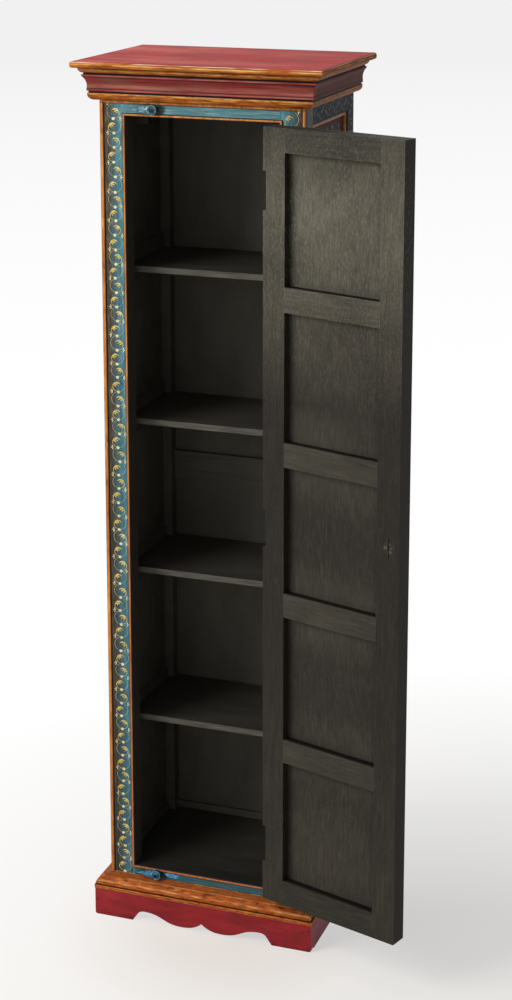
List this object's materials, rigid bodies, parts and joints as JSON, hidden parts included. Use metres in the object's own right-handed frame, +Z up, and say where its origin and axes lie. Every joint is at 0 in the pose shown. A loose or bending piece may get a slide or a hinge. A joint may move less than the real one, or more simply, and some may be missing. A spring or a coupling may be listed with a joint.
{
  "type": "tall cabinet",
  "caption": "Tall narrow painted wooden cabinet on a scalloped plinth, with a crown moulding, an inset panelled door on butt hinges, turn-buttons and shelves.",
  "frame": {"origin": "on the floor, in the middle of the underside of the back plinth board", "axes": "+Z up, +Y towards the wall behind the cabinet, +X to the right as seen from the front"},
  "size_m": [0.7079, 0.4515, 1.8],
  "materials": {
    "red_paint": "satin paint, rubbed",
    "orange_glaze": "satin glaze over wood",
    "teal_paint": "satin paint",
    "navy_paint": "satin paint",
    "maroon_paint": "satin paint",
    "dark_stain": "satin stain",
    "door_charcoal": "satin stain",
    "blue_paint": "satin paint",
    "dark_iron": "blackened",
    "bare_wood": "sawn"
  },
  "bodies": {
    "cabinet": {"top_board": "red_paint", "crown_upper_ovolo": "orange_glaze", "crown_cove": "red_paint", "crown_lower_ovolo": "orange_glaze", "left_front_post": "teal_paint", "right_front_post": "teal_paint", "left_back_post": "navy_paint", "right_back_post": "navy_paint", "top_front_rail": "teal_paint", "bottom_front_rail": "teal_paint", "face_border_strips": "orange_glaze", "opening_strips": "orange_glaze", "left_side_rails": "navy_paint", "right_side_rails": "navy_paint", "left_side_panels": "maroon_paint", "right_side_panels": "maroon_paint", "left_side_beads": "orange_glaze", "right_side_beads": "orange_glaze", "back_rails": "dark_stain", "back_panels": "dark_stain", "floor_board": "dark_stain", "shelf_1": "dark_stain", "shelf_2": "dark_stain", "shelf_3": "dark_stain", "shelf_4": "dark_stain", "shelf_cleats": "dark_stain", "door_stop": "dark_stain", "plinth_front": "red_paint", "plinth_left": "red_paint", "plinth_right": "red_paint", "plinth_back": "red_paint", "plinth_corner_blocks": "bare_wood", "plinth_nails": "dark_iron", "plinth_cap_strip": "orange_glaze", "base_moulding": "orange_glaze", "hinge_frame_leaves": "dark_iron", "hinge_frame_screws": "dark_iron", "hinge_pins": "dark_iron", "turn_button_screws": "dark_iron"},
    "door": {"door_hinge_stile": "door_charcoal", "door_free_stile": "door_charcoal", "door_top_rail": "door_charcoal", "door_middle_rails": "door_charcoal", "door_bottom_rail": "door_charcoal", "door_panel_1": "door_charcoal", "door_panel_2": "door_charcoal", "door_panel_3": "door_charcoal", "door_panel_4": "door_charcoal", "door_panel_5": "door_charcoal", "door_outer_beads": "orange_glaze", "hinge_door_leaves": "dark_iron", "hinge_door_screws": "dark_iron", "pull_plate": "dark_iron", "pull_split_pin": "dark_iron"},
    "top_button": {"top_turn_button": "blue_paint"},
    "bottom_button": {"bottom_turn_button": "blue_paint"},
    "ring": {"pull_ring": "dark_iron"}
  },
  "joints": [
    {"name": "door_hinge", "type": "hinge", "parent": "cabinet", "child": "door", "pos_m": [0.15475, -0.299, 0.9025], "axis": [0, 0, 1], "range_deg": [-163, 12]},
    {"name": "top_button_turn", "type": "hinge", "parent": "cabinet", "child": "top_button", "pos_m": [-0.099, -0.294, 1.70775], "axis": [0, 1, 0], "range_deg": [-180, 0]},
    {"name": "bottom_button_turn", "type": "hinge", "parent": "cabinet", "child": "bottom_button", "pos_m": [-0.107, -0.294, 0.1015], "axis": [0, 1, 0], "range_deg": [0, 180]},
    {"name": "pull_ring_swing", "type": "hinge", "parent": "door", "child": "ring", "pos_m": [0.43068, -0.37897, 0.9205], "axis": [0.9563, -0.2924, 0], "range_deg": [0, 160]}
  ]
}
